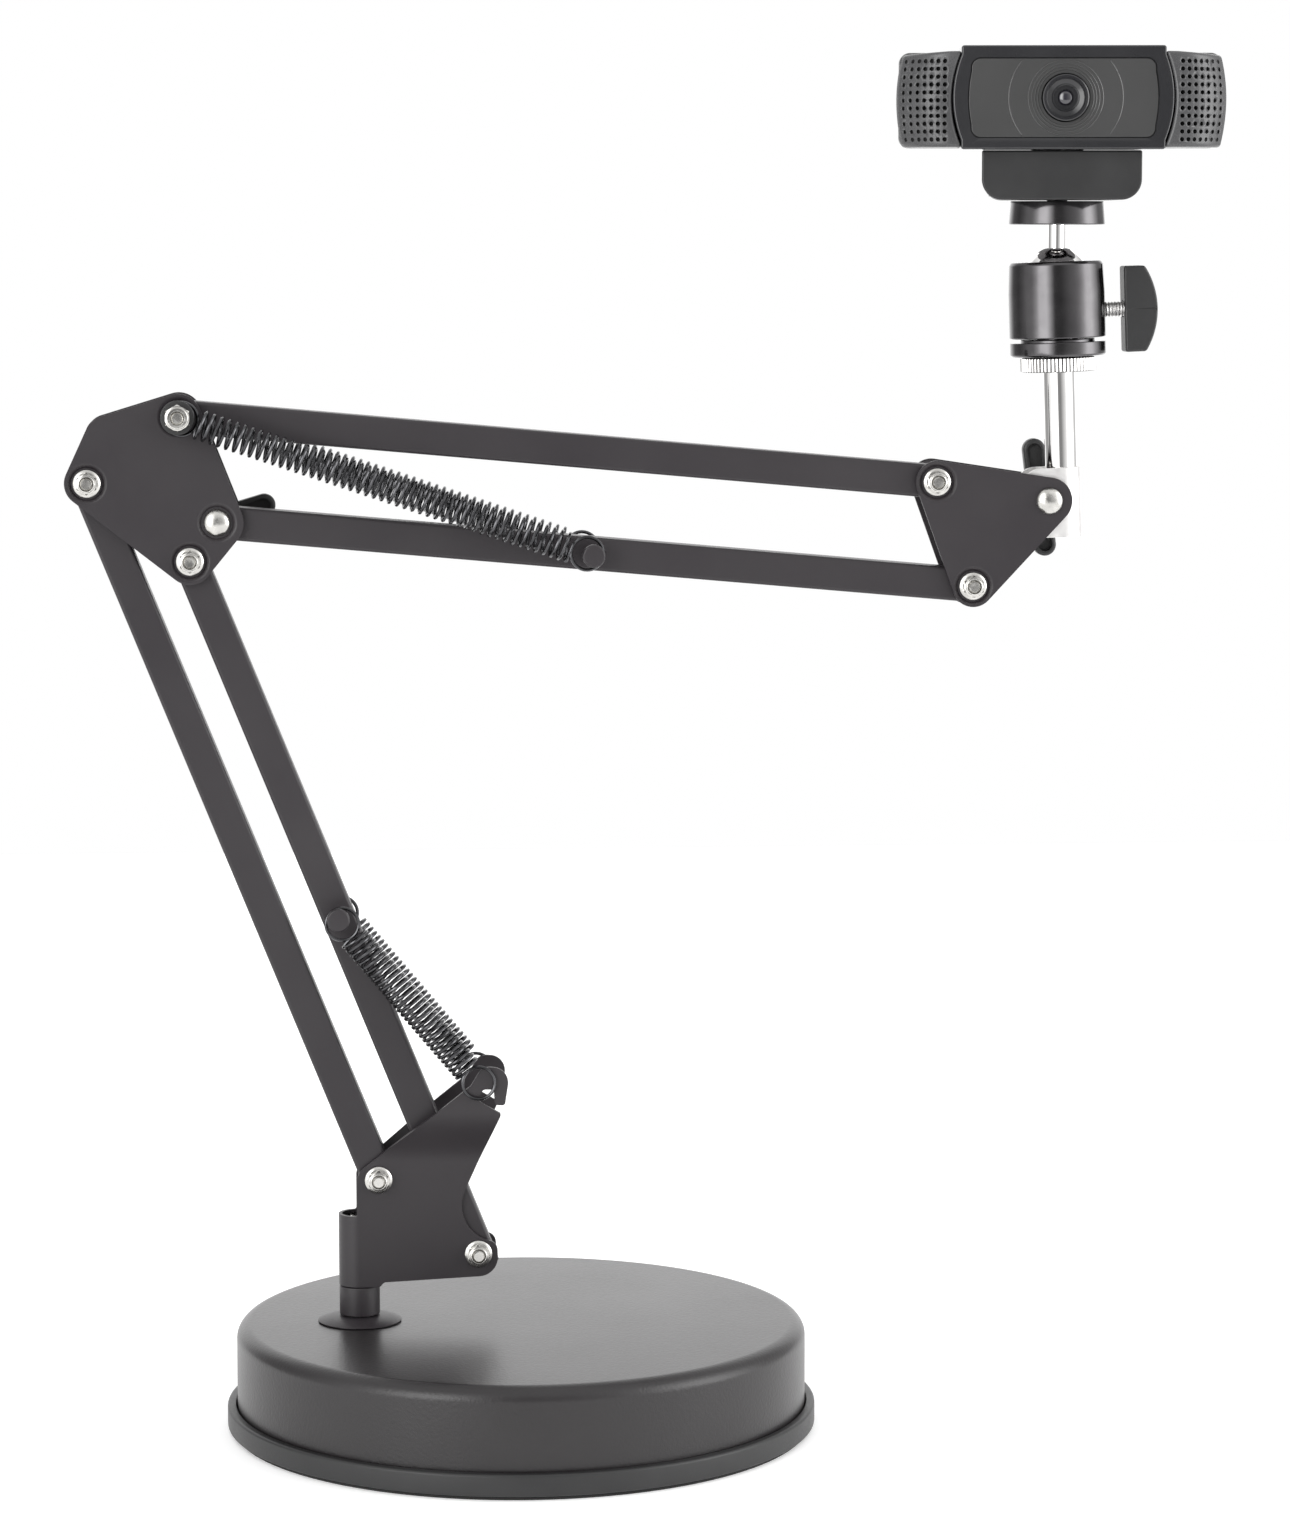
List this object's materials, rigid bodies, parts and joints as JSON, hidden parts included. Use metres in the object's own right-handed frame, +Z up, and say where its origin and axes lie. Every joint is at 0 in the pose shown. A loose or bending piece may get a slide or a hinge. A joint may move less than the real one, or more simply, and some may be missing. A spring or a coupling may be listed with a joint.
{
  "type": "webcam desk arm",
  "caption": "Webcam on a spring-balanced folding desk arm with ball head, swivel socket and round weighted base.",
  "frame": {"origin": "centre of the base's round underside, on the desk", "axes": "+Z up; +X the way the arm reaches at rest, in the plane of its bars; -Y the side the camera faces"},
  "size_m": [0.3312, 0.1726, 0.4011],
  "materials": {
    "paint": "matte black powder coat",
    "base_paint": "satin black paint with a fine texture",
    "plastic": "satin moulded",
    "gloss": "gloss",
    "anodised": "gloss black anodised",
    "chrome": "polished",
    "iron": "as cast",
    "rubber": "matte",
    "spring_steel": "black oxide"
  },
  "bodies": {
    "base": {"base_shell": "base_paint", "base_weight": "iron", "base_tray": "plastic", "base_pad": "rubber", "pole_pin": "paint", "pole_collar": "paint"},
    "socket": {"socket_bracket": "paint", "socket_bush": "chrome", "bolt_base_outer": "chrome", "nut_base_outer": "chrome", "bolt_base_inner": "chrome", "nut_base_inner": "chrome"},
    "lower_outer": {"lower_outer_bar": "paint"},
    "lower_inner": {"lower_inner_bar": "paint", "lower_spring_pin": "paint", "lower_spring_front": "spring_steel", "lower_spring_rear": "spring_steel"},
    "elbow": {"elbow_front_plate": "paint", "elbow_rear_plate": "paint", "elbow_lock_bolt": "chrome", "spring_spool_front": "plastic", "spring_spool_rear": "plastic", "bolt_elbow_outer": "chrome", "bolt_elbow_inner": "chrome", "bolt_elbow_top": "chrome", "nut_elbow_outer": "chrome", "nut_elbow_inner": "chrome", "nut_elbow_top": "chrome"},
    "elbow_wing": {"elbow_lock_wing_nut": "plastic"},
    "upper_lower": {"upper_lower_bar": "paint", "upper_spring_pin": "paint", "upper_spring_front": "spring_steel", "upper_spring_rear": "spring_steel"},
    "upper_top": {"upper_top_bar": "paint"},
    "end_bracket": {"end_front_plate": "paint", "end_rear_plate": "paint", "head_lock_bolt": "chrome", "bolt_end_top": "chrome", "nut_end_top": "chrome", "bolt_end_lower": "chrome", "nut_end_lower": "chrome"},
    "head_wing": {"head_lock_wing_nut": "plastic"},
    "holder": {"post_holder": "chrome"},
    "post": {"head_post": "chrome", "pan_ring": "anodised"},
    "lock_nut": {"post_lock_nut": "chrome"},
    "ball_head": {"ball_housing": "anodised"},
    "clamp": {"clamp_screw": "chrome", "clamp_knob": "plastic"},
    "ball_cup": {"ball_seat": "plastic"},
    "ball": {"ball_stem": "chrome", "camera_platform": "anodised"},
    "clip": {"clip_block": "plastic"},
    "leg": {"clip_leg": "plastic"},
    "camera": {"rear_shell": "plastic", "front_bezel": "plastic", "front_panel": "gloss", "lens_barrel": "gloss", "left_grille": "plastic", "right_grille": "plastic"}
  },
  "joints": [
    {"name": "arm_swivel", "type": "hinge", "parent": "base", "child": "socket", "pos_m": [-0.0474, 0, 0.05], "axis": [0, 0, 1], "continuous": true},
    {"name": "lower_arm_pivot", "type": "hinge", "parent": "socket", "child": "lower_outer", "pos_m": [-0.0418, 0, 0.0744], "axis": [0, 1, 0], "range_deg": [-12, 50]},
    {"name": "lower_link_pivot", "type": "hinge", "parent": "socket", "child": "lower_inner", "pos_m": [-0.0128, 0, 0.052], "axis": [0, 1, 0], "range_deg": [-12, 50], "deforming": ["lower_spring_front", "lower_spring_rear"]},
    {"name": "elbow_pivot", "type": "hinge", "parent": "lower_outer", "child": "elbow", "pos_m": [-0.12341, 0, 0.27741], "axis": [0, 1, 0], "range_deg": [-50, 12]},
    {"name": "elbow_wing_turn", "type": "hinge", "parent": "elbow", "child": "elbow_wing", "pos_m": [-0.08661, 0, 0.26611], "axis": [0, 1, 0], "continuous": true},
    {"name": "upper_arm_pivot", "type": "hinge", "parent": "elbow", "child": "upper_lower", "pos_m": [-0.08661, 0, 0.26611], "axis": [0, 1, 0], "range_deg": [-60, 28], "deforming": ["upper_spring_front", "upper_spring_rear"]},
    {"name": "upper_link_pivot", "type": "hinge", "parent": "elbow", "child": "upper_top", "pos_m": [-0.09731, 0, 0.29631], "axis": [0, 1, 0], "range_deg": [-60, 28]},
    {"name": "end_pivot", "type": "hinge", "parent": "upper_lower", "child": "end_bracket", "pos_m": [0.13132, 0, 0.24666], "axis": [0, 1, 0], "range_deg": [-28, 60]},
    {"name": "head_wing_turn", "type": "hinge", "parent": "end_bracket", "child": "head_wing", "pos_m": [0.15332, 0, 0.27136], "axis": [0, 1, 0], "continuous": true},
    {"name": "head_tilt", "type": "hinge", "parent": "end_bracket", "child": "holder", "pos_m": [0.15332, 0, 0.27136], "axis": [0, 1, 0], "range_deg": [-45, 45]},
    {"name": "post_swivel", "type": "hinge", "parent": "holder", "child": "post", "pos_m": [0.15802, 0, 0.27153], "axis": [-0.0349, 0, 0.9994], "continuous": true},
    {"name": "lock_nut_turn", "type": "hinge", "parent": "post", "child": "lock_nut", "pos_m": [0.15666, 0, 0.3105], "axis": [-0.0349, 0, 0.9994], "continuous": true},
    {"name": "ball_head_pan", "type": "hinge", "parent": "post", "child": "ball_head", "pos_m": [0.15628, 0, 0.32149], "axis": [-0.0349, 0, 0.9994], "continuous": true},
    {"name": "clamp_turn", "type": "hinge", "parent": "ball_head", "child": "clamp", "pos_m": [0.17112, 0, 0.32632], "axis": [0.9994, 0, 0.0349], "continuous": true},
    {"name": "ball_roll", "type": "hinge", "parent": "ball_head", "child": "ball_cup", "pos_m": [0.1558, 0, 0.33509], "axis": [1, 0, 0], "range_deg": [-30, 30]},
    {"name": "ball_tilt", "type": "hinge", "parent": "ball_cup", "child": "ball", "pos_m": [0.1558, 0, 0.33509], "axis": [0, 1, 0], "range_deg": [-30, 30]},
    {"name": "camera_swivel", "type": "hinge", "parent": "ball", "child": "clip", "pos_m": [0.1558, 0, 0.36], "axis": [0, 0, 1], "continuous": true},
    {"name": "clip_leg_hinge", "type": "hinge", "parent": "clip", "child": "leg", "pos_m": [0.15749, 0.01752, 0.3614], "axis": [0.9954, -0.0958, 0], "range_deg": [-70, 0]},
    {"name": "camera_tilt", "type": "hinge", "parent": "clip", "child": "camera", "pos_m": [0.15613, 0.00338, 0.3706], "axis": [0.9954, -0.0958, 0], "range_deg": [-30, 0]}
  ],
  "couplings": [
    {"joint": "lower_link_pivot", "follows": "lower_arm_pivot", "ratio": 1},
    {"joint": "elbow_pivot", "follows": "lower_arm_pivot", "ratio": -1},
    {"joint": "upper_link_pivot", "follows": "upper_arm_pivot", "ratio": 1},
    {"joint": "end_pivot", "follows": "upper_arm_pivot", "ratio": -1}
  ]
}
